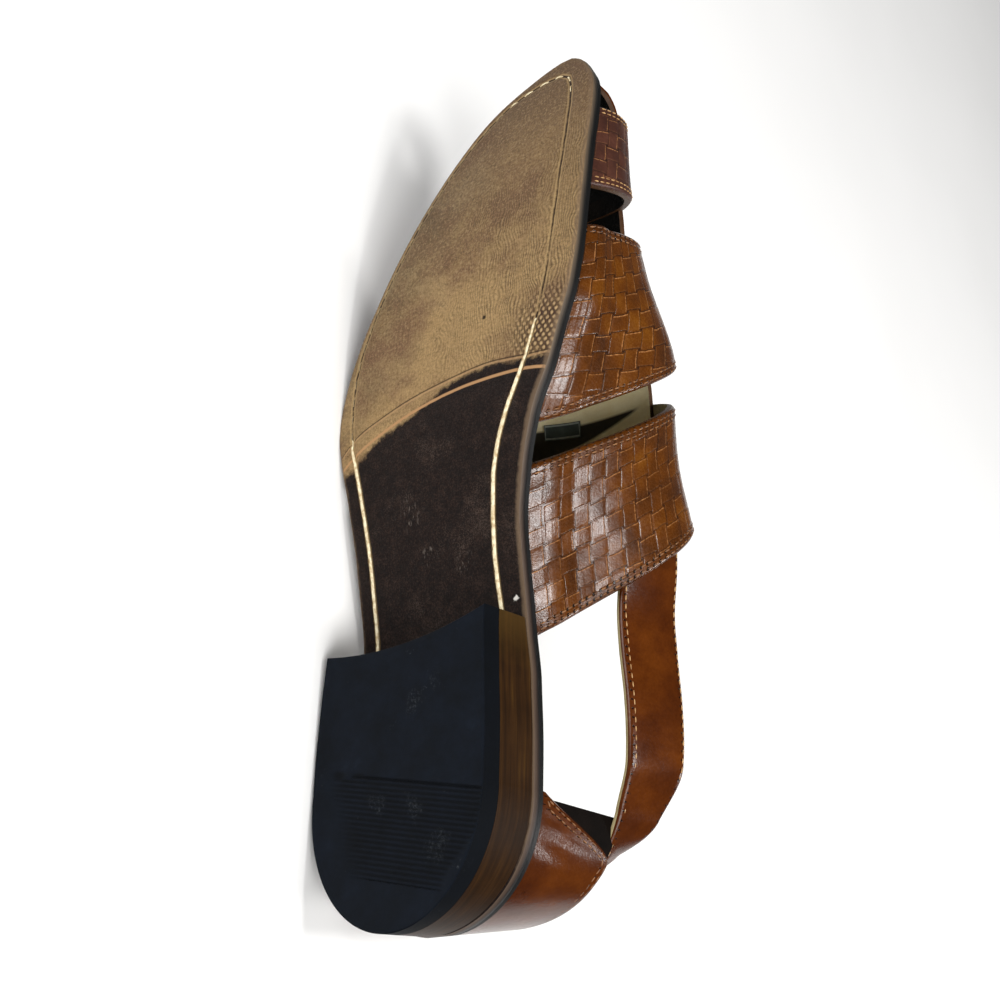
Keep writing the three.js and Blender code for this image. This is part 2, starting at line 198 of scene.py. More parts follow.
def heelCurve(s, height):
    side = (s > 0) - (s < 0)
    turn = min(abs(s), 1) * math.pi / 2
    y = shoe["heelRound"] * (1 - math.cos(turn)) + max(0, abs(s) - 1) * shoe["sideReach"]
    rise = (height - seatAt(0)) / shoe["wallRise"]
    inner, outer = outlineAt(max(y, shoe["heelRound"]))
    half = (outer - inner) / 2 - shoe["upperInset"] + shoe["wallFlare"] * rise
    middle = shoe["heelSkew"] * y if y < shoe["heelRound"] else (outer + inner) / 2
    back = shoe["wallLean"] * rise * math.cos(turn) ** 2 + shoe["wallBack"]
    return Vector((middle + side * half * math.sin(turn), y + back, height))


def heelOut(s, height, distance):
    along = heelCurve(s + 0.02, height) - heelCurve(s - 0.02, height)
    return heelCurve(s, height) + Vector((along.y, -along.x, 0)).normalized() * distance


def heelBase(s):
    return baseAt(heelCurve(s, shoe["wallMiddle"]).y)


# colours and nodes


def fromHex(code):
    parts = [int(code[k:k + 2], 16) / 255 for k in (1, 3, 5)]
    return tuple(c / 12.92 if c <= 0.04045 else ((c + 0.055) / 1.055) ** 2.4 for c in parts) + (1,)


def addNode(tree, kind, settings):
    node = tree.nodes.new("ShaderNode" + kind)
    for key, value in settings.items():
        if key == "stops":
            while len(node.color_ramp.elements) < len(value):
                node.color_ramp.elements.new(0.5)
            for element, (position, colour) in zip(node.color_ramp.elements, value):
                element.position, element.color = position, fromHex(colour)
        elif isinstance(value, Signal):
            tree.links.new(value.socket, node.inputs[key])
        elif isinstance(key, int) or key in node.inputs:
            node.inputs[key].default_value = fromHex(value) if isinstance(value, str) else value
        else:
            setattr(node, key, value)
    return node


class Signal:
    # an output of a node, which can be added and multiplied like a number
    def __init__(self, socket):
        self.socket = socket

    def node(self, kind, settings, output=0):
        return Signal(addNode(self.socket.id_data, kind, settings).outputs[output])

    def combined(self, operation, other=0.0):
        return self.node("Math", {"operation": operation, 0: self, 1: other})

    def __add__(self, other):
        return self.combined("ADD", other)

    def __sub__(self, other):
        return self.combined("SUBTRACT", other)

    def __rsub__(self, other):
        return self.node("Math", {"operation": "SUBTRACT", 0: other, 1: self})

    def __mul__(self, other):
        return self.combined("MULTIPLY", other)

    def __abs__(self):
        return self.combined("ABSOLUTE")

    def ranged(self, low, high, toLow, toHigh, kind="LINEAR"):
        limits = {"From Min": low, "From Max": high, "To Min": toLow, "To Max": toHigh}
        return self.node("MapRange", {"interpolation_type": kind, **limits, 0: self})

    def pick(self, off, on):
        return self.node("Mix", {0: self, 2: off, 3: on})

    def dyed(self, stops):
        return self.node("ValToRGB", {"stops": stops, 0: self})

    def covered(self, layers):
        # colours laid over this one in turn, each by its share
        colour = self
        for upper, share in layers:
            colour = self.node("Mix", {"data_type": "RGBA", 0: share, 6: colour, 7: upper}, 2)
        return colour

    def parts(self):
        return [Signal(o) for o in addNode(self.socket.id_data, "SeparateXYZ", {0: self}).outputs]

    def paired(self, other):
        return self.node("CombineXYZ", {0: self, 1: other})

    def away(self, place=(0, 0, 0)):
        return self.node("VectorMath", {"operation": "DISTANCE", 0: self, 1: place}, "Value")

    def stretched(self, scale, turn=0):
        return self.node("Mapping", {"Rotation": (0, 0, turn), "Scale": scale, "Vector": self})

    def cloud(self, scale, detail, rough=0.65):
        settings = {"Scale": scale, "Detail": detail, "Roughness": rough, "Vector": self}
        return self.node("TexNoise", settings, "Fac")

    def pebbles(self, scale):
        return self.node("TexVoronoi", {"Scale": scale, "Vector": self}, "Distance")

    def wave(self, turn, stretch, scale, bend, bendScale):
        settings = {"Scale": scale, "Distortion": bend, "Detail": 2, "Detail Scale": bendScale, "Detail Roughness": 0.5}
        return self.node("TexWave", {**settings, "Vector": self.stretched(stretch, turn)}, "Fac")


def newMaterial(name, roughness, shine=0.5):
    material = bpy.data.materials.new(name)
    material.use_nodes = True
    shader = material.node_tree.nodes["Principled BSDF"]
    shader.inputs["Roughness"].default_value = roughness
    shader.inputs["Specular IOR Level"].default_value = shine
    return material


def attribute(material, name):
    return Signal(addNode(material.node_tree, "Attribute", {"attribute_name": name}).outputs["Vector"])


def dress(material, colour, relief=None, strength=1.0, depthMm=1.0, roughness=None):
    tree = material.node_tree
    bump = relief and relief.node("Bump", {"Strength": strength, "Distance": depthMm * 0.001, "Height": relief})
    for signal, name in ((colour, "Base Color"), (bump, "Normal"), (roughness, "Roughness")):
        if signal:
            tree.links.new(signal.socket, tree.nodes["Principled BSDF"].inputs[name])
    return material


def cognacLeather(name, tones, gloss, hole, shine):
    material = newMaterial(name, 0.3, shine)
    spot = attribute(material, "shoeSpot")
    straightAlong, straightAcross, woven = attribute(material, "weave").parts()  # cells along and across, strength
    stitch, edge, pitch = attribute(material, "seam").parts()  # stitch count, distance to the edge, pitch
    # the stamped strips run slightly out of true
    along = straightAlong + (spot.cloud(0.09, 3) - 0.5) * 0.22
    across = straightAcross + (spot.cloud(0.11, 3) - 0.5) * 0.22
    nearAlong, nearAcross = along.combined("PINGPONG", 0.5), across.combined("PINGPONG", 0.5)
    countAlong, countAcross = along.combined("FLOOR"), across.combined("FLOOR")
    shareAlong, shareAcross = along.combined("FRACT"), across.combined("FRACT")
    turned = (countAlong + countAcross).combined("PINGPONG", 1.0)  # which strip lies on top
    ends, sides = turned.pick(nearAlong, nearAcross), turned.pick(nearAcross, nearAlong)
    chance = addNode(material.node_tree, "TexWhiteNoise",
                     {"noise_dimensions": "2D", "Vector": countAlong.paired(countAcross)})
    tone, tilt = Signal(chance.outputs["Value"]), Signal(chance.outputs["Color"]).parts()
    broad, fleck = spot.cloud(0.07, 5, 0.62), spot.cloud(1.1, 4, 0.7)  # dye clouds of 14 mm, flecks of 0.9 mm
    dye = (broad + tone * woven * 0.13 + fleck * 0.3).dyed(tones)
    clear = woven * spot.cloud(0.03, 3).ranged(0.38, 0.58, 0.45, 1)  # pressed deeper in places
    # a strip on top reaches past its cell: its two sides are cut lines set in by the lap, the corners are dark gaps
    lap = 0.085
    fromSide = sides - lap
    cutLine = abs(fromSide).ranged(0.012, 0.04, 0.75, 0)
    corner = nearAlong.paired(nearAcross).away().ranged(0.05, 0.11, 0.8, 0)
    # painted glint: the lip of each cut is painted bright, more on one side of each strip, as a highlight where light
    # catches the cut
    lip = abs(fromSide - 0.05).ranged(0.012, 0.04, 1, 0)
    oneSided = turned.pick(shareAcross, shareAlong).ranged(0.45, 0.55, 0.15, 1)
    paintedGlint = lip * oneSided * clear * fleck.ranged(0.38, 0.62, 0.1, 0.75)
    # needle holes: dark dots on the rows beside each edge
    needle = (stitch.combined("PINGPONG", 0.5) * pitch).paired((edge - 1.5).combined("PINGPONG", 0.9))
    holed = needle.away().ranged(hole, hole * 1.7, 1, 0) * edge.combined("LESS_THAN", 4.0)
    gaps = cutLine.combined("MAXIMUM", corner) * clear
    # dark gaps, the painted glint on the lips of the cuts, then the needle holes
    colour = dye.covered([("#1C0A02", gaps), ("#BE8450", paintedGlint), ("#120803", holed)])
    # relief in mm: strips dip towards their ends and tilt a little each, then pebbles of 0.6 mm, wrinkles, needle holes
    strips = fromSide.combined("GREATER_THAN", 0.0).pick(lap - sides, ends + lap)
    dipped = strips.ranged(0, 0.24, 0, 0.09, "SMOOTHSTEP") + fromSide.ranged(0, 0.06, 0, 0.05, "SMOOTHSTEP")
    leaned = (shareAlong - 0.5) * (tilt[0] - 0.5) + (shareAcross - 0.5) * (tilt[1] - 0.5)
    raised = (dipped + leaned * 0.8) * woven
    grain = spot.pebbles(1.6) * 0.022 + spot.cloud(0.4, 4) * 0.06
    return dress(material, colour, raised + (grain + holed * -0.25), roughness=fleck.ranged(0.3, 0.7, *gloss))


# full-grain calf, stamped with a basket weave, dyed cognac and polished: amber brown, with glints partly painted on the
# lips of the cuts
wovenTones = [(0.42, "#321601"), (0.58, "#452202"), (0.74, "#552B02"), (0.95, "#6B3D06")]
wovenCalf = cognacLeather("wovenCalfLeather", wovenTones, (0.21, 0.33), 0.42, 0.38)
# the toe band, duller and redder from scuffing
wornTones = [(0.42, "#2A130C"), (0.7, "#432419"), (1.0, "#5C3628")]
wornCalf = cognacLeather("wornToeLeather", wornTones, (0.36, 0.5), 0.3, 0.35)
# the same calf left smooth, on strap and counter: a little redder and more even
smoothTones = [(0.4, "#351301"), (0.65, "#481F02"), (1.0, "#602F06")]
smoothCalf = cognacLeather("smoothCalfLeather", smoothTones, (0.18, 0.26), 0.24, 0.25)

# painted shade: the strip's lining is painted dark in a wedge behind the label, a painted shadow, and towards the toe,
# the painted shade inside the toe
paintedLiningShade = {"fromTip": 25.9, "y": 193.3, "rise": 0.294, "fall": 0.046, "toe": (206, 222), "colour": "#0A0906"}


def poredHide(name, tones, roughness, bumpMm, grainPerMm, shine=0.3, paintedShade=None):
    material = newMaterial(name, roughness, shine)
    spot = attribute(material, "shoeSpot")
    dye = spot.cloud(0.12, 6).dyed(list(zip((0.3, 0.7), tones)))
    # optional painted shade: a shadow wedge behind the label and a darkening towards the toe, painted into the dye
    if paintedShade:
        x, y = spot.parts()[:2]
        fromTip = x + paintedShade["fromTip"]
        above = (y - paintedShade["y"] + fromTip * paintedShade["rise"]).ranged(-0.4, 0.7, 0, 1)
        below = (paintedShade["y"] - y - fromTip * paintedShade["fall"]).ranged(-0.4, 0.5, 0, 1)
        wedge = above * below * fromTip.ranged(0, 5, 0, 0.96)
        dye = dye.covered([(paintedShade["colour"], wedge.combined("MAXIMUM", y.ranged(*paintedShade["toe"], 0, 1)))])
    return dress(material, dye, spot.pebbles(grainPerMm), 0.5, bumpMm)


# undyed pigskin lining: olive beige, matt, open pores
liningHide = poredHide("pigskinLining", ("#8C7C55", "#B3A57C"), 0.7, 0.1, 1.1)
# lining of the strip: painted paler than the pigskin lining under the instep, as painted light, and painted black as
# shade towards the toe
stripLining = poredHide("pigskinStripLining", ("#EAD7A2", "#FBEEC4"), 0.7, 0.1, 1.1, 0.2, paintedLiningShade)
# lining of the toe band: painted near black as the shade inside the toe
shadedToeLining = poredHide("shadePaintedToeLining", ("#0B0907", "#1A1510"), 0.75, 0.1, 1.1, 0.1)
# lining of the heel, painted nearly black as the shade inside the heel: matt
shadedHeelLining = poredHide("shadePaintedHeelLining", ("#060403", "#100A07"), 0.75, 0.1, 1.1, 0.05)
# cut edges of the straps, painted and burnished: dark and slightly glossy
paintedEdge = poredHide("paintedLeatherEdge", ("#2C180B", "#54371C"), 0.5, 0.06, 2.0)
# sock leather under the foot: almost black brown, rubbed
sockLeather = poredHide("sockLeather", ("#1C1613", "#332A25"), 0.55, 0.08, 1.4)
# welt strip: leather dyed black through
blackWelt = poredHide("blackDyedWelt", ("#040505", "#0B0C0C"), 0.5, 0.08, 1.6)
# woven satin: dark green grey with a faint sheen, its border a paler weft
satinLabel = poredHide("wovenSatinLabel", ("#39403B", "#58615A"), 0.4, 0.03, 3.0)
labelBorder = poredHide("satinLabelBorder", ("#8C9188", "#B4B8AE"), 0.45, 0.03, 3.0)


def waxedThread(name, tones):
    material = newMaterial(name, 0.55)
    return dress(material, attribute(material, "shoeSpot").cloud(0.6, 4, 0.5).dyed(tones))


goldThread = waxedThread("waxedGoldThread", [(0.35, "#8A6236"), (0.65, "#C79E68")])  # polyester, waxed: soft sheen
copperThread = waxedThread("waxedCopperThread", [(0.35, "#4E2D14"), (0.65, "#93653B")])  # the same, dyed with the calf
soiledThread = waxedThread("soiledSoleThread", [(0.3, "#5F4E36"), (0.6, "#9A865F")])  # trodden grey brown
creamThread = waxedThread("waxedCreamThread", [(0.3, "#B79A68"), (0.6, "#EADFBC")])  # thick linen sole thread

print("upper materials ready")


# mesh helpers


def sheetOn(columns, rows, place):
    # a grid laid on a surface, whose points keep their share across and along it
    bm = bmesh.new()
    bmesh.ops.create_grid(bm, x_segments=columns, y_segments=rows, size=0.5)
    across = bm.verts.layers.float.new("across")
    along = bm.verts.layers.float.new("along")
    for v in bm.verts:
        v[across], v[along] = clamped(v.co.x + 0.5), clamped(v.co.y + 0.5)
        v.co = place(v[across], v[along])
    return bm, across, along


def addObject(bm, name, materials):
    mesh = bpy.data.meshes.new(name)
    bm.to_mesh(mesh)
    bm.free()
    for material in materials:
        mesh.materials.append(material)
    made = bpy.data.objects.new(name, mesh)
    scene.collection.objects.link(made)
    return made


def finishPiece(bm, name, materials, replaced, sharpDegrees=40):
    spot = bm.verts.layers.float_vector.new("shoeSpot")
    for v in bm.verts:
        v[spot] = v.co
    bmesh.ops.transform(bm, matrix=layDown, verts=bm.verts)
    piece = addObject(bm, name, materials)
    piece.data.shade_smooth()
    piece.data.set_sharp_from_angle(angle=math.radians(sharpDegrees))
    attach(piece, "root")
    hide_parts(replaced)
    print(name, len(piece.data.polygons), "faces")


def only(kind, geom):
    return [g for g in geom if isinstance(g, kind)]


def growBorder(bm, across, along, place, levels, bridged=False):
    # carries the open border of a sheet through the levels of a place function, then closes it
    border = [e for e in bm.edges if e.is_boundary]
    for level in levels:
        grown = bmesh.ops.extrude_edge_only(bm, edges=border)["geom"]
        for v in only(BMVert, grown):
            v.co = place(v[across], v[along], level)
        border = [e for e in only(BMEdge, grown) if e.is_boundary]
    if bridged:  # long bent layers close across, from side to side
        bmesh.ops.bridge_loops(bm, edges=[e for e in border if abs(e.verts[0][across] - e.verts[1][across]) < 0.0001])
        border = [e for e in bm.edges if e.is_boundary]
    bmesh.ops.holes_fill(bm, edges=border, sides=0)
    bmesh.ops.recalc_face_normals(bm, faces=bm.faces)


def leatherSheet(name, columns, rows, place, wall, relief, inside, materials):
    # a sheet on its inner surface, given its wall and its outer relief
    bm, across, along = sheetOn(columns, rows, place)
    weave = bm.verts.layers.float_vector.new("weave")
    seam = bm.verts.layers.float_vector.new("seam")
    bm.normal_update()
    probe = min(bm.verts, key=lambda v: abs(v[across] - 0.5) + abs(v[along] - 0.5))
    if probe.normal.dot(probe.co - Vector(inside)) < 0:
        bmesh.ops.reverse_faces(bm, faces=bm.faces)
        bm.normal_update()
    out = {(v[across], v[along]): v.normal.copy() for v in bm.verts}
    lower = set(bm.faces)
    outer = bmesh.ops.extrude_face_region(bm, geom=bm.faces[:], use_keep_orig=True)["geom"]
    outerFaces = set(only(BMFace, outer))
    for v in only(BMVert, outer):
        height, v[weave], v[seam] = relief(v[across], v[along])
        v.co += out[(v[across], v[along])] * (wall + height)
    bmesh.ops.reverse_faces(bm, faces=list(lower))
    for f in bm.faces:
        f.material_index = 0 if f in outerFaces else 1 if f in lower else 2
    bmesh.ops.recalc_face_normals(bm, faces=bm.faces)
    finishPiece(bm, name, materials, "upper", 50)


def runLengths(points):
    runs = [0]
    for a, b in zip(points, points[1:]):
        runs.append(runs[-1] + (b - a).length)
    return runs


def roundedEdge(edge, depth, reach=1.3):
    return depth * max(0, 1 - edge / reach) ** 2


unwoven, unsewn = Vector((0.5, 0.5, 0)), Vector((0, 9, 1))  # weave and seam values of plain leather


def sewRows(name, paths, pitch, gap, width, lift, thread):
    # flattened stitches laid along paths of (point, outward) pairs
    bm = bmesh.new()
    size = Matrix.Diagonal(((pitch - gap) / 2, width / 2, width * 0.42, 1))
    for path in paths:
        run, target = 0, pitch / 2
        for (a, outA), (b, outB) in zip(path, path[1:]):
            step = (b - a).length
            while step > 0 and run + step >= target:
                t = (target - run) / step
                out = outA.lerp(outB, t).normalized()
                forward = (b - a).normalized()
                sideways = out.cross(forward).normalized()
                turn = Matrix((forward, sideways, out)).transposed().to_4x4()
                spot = Matrix.Translation(a.lerp(b, t) + out * lift)
                bmesh.ops.create_uvsphere(bm, u_segments=8, v_segments=5, radius=1,
                                          matrix=spot @ turn @ size @ Matrix.Rotation(math.pi / 2, 4, "Y"))
                target += pitch
            run += step
    finishPiece(bm, name, [thread], "upper", 180)


# outsole

outsole = {
    "columns": 104, "rows": 330,
    # inset and height of the edge profile, from tread to welt
    "profile": [(0.9, 0), (0.3, 0.22), (0.05, 0.75), (-0.12, 2.0), (0.0, 3.3), (0.35, 3.8)],
    # two scored arcs in front of the waist, and the border of the dark stain
    "arcX": [-46, -35, -18, -1, 16, 30, 42, 52],
    "firstArc": [179.8, 180.6, 182, 180.4, 177.5, 173.4, 168.4, 160],
    "secondArc": [173.6, 175.6, 176.2, 175, 171.6, 167, 161.8, 155.2],
    "stain": [179, 179.8, 181, 178.4, 170.6, 165.2, 158.4, 152.6],
    # depth and half width of the cut channel, which stands slightly open, and of the arcs
    "channelCut": (0.45, 1.5), "arcCut": (0.3, 1.1),
    # the channel of the sole seam, from the heel along the inner side, round the toe and back
    "channel": [(-19.6, 97), (-18.9, 108), (-18.8, 119), (-19.8, 130), (-21.6, 144), (-24.5, 154.6), (-27.6, 162),
                (-31.2, 170), (-34.8, 180.5), (-37.4, 191), (-39.2, 200), (-40.4, 210), (-40.9, 222), (-40.7, 238),
                (-39.7, 254), (-38.5, 267), (-36.5, 280.5), (-34.2, 290.1), (-31.6, 295.8), (-27.5, 298.4),
                (-21.3, 298.8), (-15.6, 297.9), (-9.5, 296.1), (-3.4, 293), (3, 287), (9.5, 279), (17, 267),
                (25, 251.5), (33, 233), (40, 216), (44.6, 202), (46.2, 192), (46.1, 181), (45, 172), (43.8, 164),
                (42.3, 158.5), (40, 148.4), (38.6, 138.3), (37.6, 129), (37.4, 118.8), (37.5, 106.4), (37.5, 86)],
    # wear: centre and reach of the waist's scuffs, the waffle print, a dark spot and a bare chip
    "scuffs": [((16.7, 137, 6), 7), ((9.3, 122.5, 10), 5), ((-4.6, 118.5, 11), 5)],
    "waffle": (-43, 188, 0), "darkSpot": (-14.6, 199.5, 0), "chip": (-25.8, 104.3, 15.2),
}


def bentLine(xs, ys, at):
    i, span, t = spanAt(xs, at)
    before, after = max(i - 1, 0), min(i + 2, len(xs) - 1)
    slopeA = (ys[i + 1] - ys[before]) / (xs[i + 1] - xs[before])
    slopeB = (ys[after] - ys[i]) / (xs[after] - xs[i])
    return bentBetween(ys[i], ys[i + 1], slopeA, slopeB, span, t)


def soleStations(rows, first=0.35, steps=2400, steepest=5):
    # closer together where the round heel and the toe turn
    fine = [first + (shoe["soleEnd"] - first) * k / steps for k in range(steps + 1)]
    run = [0]
    for a, b in zip(fine, fine[1:]):
        turn = max(abs(outlineAt(b)[0] - outlineAt(a)[0]), abs(outlineAt(b)[1] - outlineAt(a)[1]))
        run.append(run[-1] + min(math.hypot(turn, b - a), steepest * (b - a)))
    return [fine[bisect.bisect_left(run, run[-1] * k / rows)] for k in range(rows + 1)]


def layeredSolid(sizes):
    # a sole layer: its first face, grown over the edge profile to the other one
    rows, profile = sizes["rows"], sizes["profile"]
    stations = soleStations(rows)

    def place(across, along, level=0):
        inset, height = profile[level]
        y = round(stations[round(along * rows)], 4)
        a, b = edgePoint(y, -1, inset), edgePoint(y, 1, inset)
        x, y = mixed(a[0], b[0], across), mixed(a[1], b[1], across)
        return turnHeel(Vector((x, y, undersideAt(y) + height)))

    bm, across, along = sheetOn(sizes["columns"], rows, place)
    growBorder(bm, across, along, place, range(1, len(profile)), True)
    return bm


def channelDistance(x, y, nearby=6):
    best = 99
    for (ax, ay), (bx, by) in zip(outsole["channel"], outsole["channel"][1:]):
        if min(ay, by) - nearby < y < max(ay, by) + nearby:
            dx, dy = bx - ax, by - ay
            t = clamped(((x - ax) * dx + (y - ay) * dy) / (dx * dx + dy * dy))
            best = min(best, math.hypot(x - ax - dx * t, y - ay - dy * t))
    return best


def aboveTread(p):
    return p.z - undersideAt(max(p.y, 0.4))


def makeOutsole():
    bm = layeredSolid(outsole)
    lines = bm.verts.layers.float_vector.new("soleLines")
    marks = bm.verts.layers.float_vector.new("soleMarks")
    channelDepth, channelHalf = outsole["channelCut"]
    arcDepth, arcHalf = outsole["arcCut"]
    for v in bm.verts:
        x, y, rise = v.co.x, v.co.y, aboveTread(v.co)
        arcs = (outsole[key] for key in ("firstArc", "secondArc", "stain"))
        first, second, stain = (bentLine(outsole["arcX"], arc, x) - y for arc in arcs)
        channel = channelDistance(x, y)
        inner, outer = outlineAt(max(y, 1))
        v[lines] = Vector((first, second, channel))
        v[marks] = Vector((stain, min(x - inner, outer - x), rise))
        if rise < 0.1:
            scored = arcDepth * hump(first, arcHalf) + arcDepth * hump(second, arcHalf)
            v.co.z += channelDepth * hump(channel, channelHalf) + scored
    for f in bm.faces:
        f.material_index = 1 if aboveTread(f.calc_center_median()) > 0.6 else 0
    finishPiece(bm, "outsoleLeather", [soleLeather, soleEdge], "outsole")


# vegetable-tanned bend leather: tan with a fine rippled grain, grey where walked on, stained dark in the waist
def makeSoleLeather():
    material = newMaterial("vegetableTannedSole", 0.62, 0.1)
    spot = attribute(material, "shoeSpot")
    x, y = spot.parts()[:2]
    firstArc, secondArc, channel = attribute(material, "soleLines").parts()
    stain, rimAway = attribute(material, "soleMarks").parts()[:2]
    patch, speck, nap = spot.cloud(0.018, 5), spot.cloud(0.75, 6, 0.72), spot.cloud(0.95, 5, 0.78)
    smudge, fine = spot.cloud(0.22, 7, 0.7), spot.cloud(2.2, 4, 0.7)
    uneven = smudge - 0.5
    # ripples about 1.1 mm apart that curl like a fingerprint, clear in patches and worn away between them
    ripple = spot.wave(0.12, (1, 0.75, 0.3), 0.28, 26.0, 0.3)
    cross = spot.wave(1.45, (1, 0.75, 0.3), 0.26, 20.0, 0.4)
    bare = stain.ranged(-2, 0.5, 1, 0)
    inside = (x + abs(y - 196) * 0.75 + spot.cloud(0.035, 4) * 90).ranged(18, 72, 1, 0.12)
    kept = inside * bare * spot.cloud(0.13, 6, 0.7).ranged(0.34, 0.58, 0.1, 1)
    inward = (x + (y - 200) * 0.7 + spot.cloud(0.03, 5) * 80).ranged(52, 100, 1, 0)
    # waffle print at the inner ball, its grooves filled with stain, rows about 2 mm apart
    waffle = spot.wave(0.55, (1, 1, 1), 0.155, 1.2, 0.3) * spot.wave(-0.95, (1, 1, 1), 0.155, 1.2, 0.3)
    printed = spot.away(outsole["waffle"]).ranged(7, 18, 1, 0) * smudge.ranged(0.35, 0.5, 0.5, 1)
    # the waist stain, ragged along its border and dusty
    soaked = smudge * 0.35 + spot.cloud(1.6, 3, 0.8) * 0.65
    dark = soaked.dyed([(0.36, "#060302"), (0.5, "#140B08"), (0.64, "#2F211A")])
    dusty = dark.covered([("#5A4A40", (fine * spot.cloud(0.05, 4)).ranged(0.31, 0.4, 0, 0.4))])
    layers = [
        ("#9A7D54", inward * 0.8),  # golden at the inner ball
        ("#644836", spot.cloud(0.028, 6, 0.7).ranged(0.47, 0.62, 0, 0.75)),  # reddish in places
        ("#553F2E", (y + smudge * 60).ranged(235, 325, 0, 0.85)),  # brown at the toe
        ("#43331F", ripple.ranged(0.05, 0.5, 0.55, 0) * kept),  # grooves, ridges and pits of the ripples
        ("#B99C6E", ripple.ranged(0.6, 0.95, 0, 0.35) * kept),
        ("#3A2A18", (cross * ripple).ranged(0.1, 0.0, 0, 0.4) * kept),
        ("#46361F", nap.ranged(0.38, 0.5, 0.45, 0)),  # nap and dark flecks
        ("#B39A70", nap.ranged(0.52, 0.66, 0, 0.38)),
        ("#3B2C1C", (fine * smudge).ranged(0.21, 0.13, 0, 0.65)),
        ("#33201A", waffle.ranged(0.1, 0.3, 0.85, 0) * printed),
        ("#C3A57C", waffle.ranged(0.4, 0.7, 0, 0.55) * printed),
        (dusty, (stain + uneven * 9).ranged(-0.6, 1.4, 0, 1)),
    ]
    scratch = spot.stretched((1, 0.22, 1), 0.5).cloud(1.0, 2).ranged(0.58, 0.7, 0, 0.3)
    for place, size in outsole["scuffs"]:
        layers.append(("#94877C", (spot.away(place) + uneven * 14).ranged(size * 0.3, size, 1, 0) * scratch))
    wander = channel + (spot.cloud(0.5, 3) - 0.5) * 0.5
    layers += [
        ("#A98760", abs(firstArc - 0.75).ranged(0.3, 0.65, 0.55, 0)),  # the first arc: a thin cut with a raw lip
        ("#2B1A10", abs(firstArc).ranged(0.12, 0.4, 0.8, 0)),
        ("#A67F58", abs(secondArc).ranged(0.4, 0.7, 1, 0)),  # the second: a broad raw line
        ("#B4986B", abs(wander - 0.8).ranged(0.15, 0.45, 0.4, 0)),  # the channel: a dark slit between raised lips
        ("#1C1009", wander.ranged(0.2, 0.5, 0.9, 0)),
        ("#6E5B48", (rimAway + uneven * 2.5).ranged(0.5, 1.6, 0.6, 0)),  # worn rim
        ("#140C07", spot.away(outsole["darkSpot"]).ranged(0.5, 1.0, 0.95, 0)),
        ("#D8D4CC", (spot.away(outsole["chip"]) + speck * 2.4).ranged(1.9, 2.3, 0.9, 0)),
    ]
    grey = (patch + speck * 0.3).dyed([(0.56, "#564936"), (0.64, "#706047"), (0.73, "#8C7757")])
    relief = ripple * kept * 0.22 + speck * 0.25 + waffle * printed * 0.35
    return dress(material, grey.covered(layers), relief, 0.8, 1.0, speck.ranged(0.3, 0.7, 0.5, 0.75))


# trimmed sole edge, inked and waxed: grey brown at the tread, nearly black at the welt
def makeSoleEdge():
    material = newMaterial("inkedSoleEdge", 0.5, 0.3)
    spot = attribute(material, "shoeSpot")
    streak = spot.stretched((0.06, 0.04, 1.0)).cloud(1.2, 6, 0.7)
    level = (streak * 1.6 + attribute(material, "soleMarks").parts()[2]).ranged(0.8, 4.6, 0, 1)
    fore = level.dyed([(0.1, "#6C5C48"), (0.4, "#4A3F34"), (0.62, "#2A2620"), (0.8, "#0B0B0A")])
    rear = level.dyed([(0.05, "#5E4D3F"), (0.35, "#45362B"), (0.6, "#2A1F19"), (0.8, "#0B0908")])
    return dress(material, rear.covered([(fore, spot.parts()[1].ranged(120, 190, 0, 1))]), streak, 0.5, 0.2)


soleLeather = makeSoleLeather()
soleEdge = makeSoleEdge()
makeOutsole()


# sole seam: thick cream thread in the waist, fine and sunken under the forefoot

soleSeam = {
    "pitch": 7.0, "step": 0.7, "spokes": 8, "rounding": 4, "thinnest": 0.12, "flatness": 0.3, "soiledFrom": (-5, 168),
    # width of the thread in the waist, then each later width and the stretch in which it is reached
    "inner": [1.55, (1.0, 172, 182), (0, 188, 200), (0.62, 282, 292)],
    "outer": [1.35, (0.4, 158, 172), (0.62, 282, 292)],
}


def threadWidth(x, y):
    width, *steps = soleSeam["inner" if x < 0 else "outer"]
    for later, start, end in steps:
        width = mixed(width, later, eased(y, start, end))
    return width


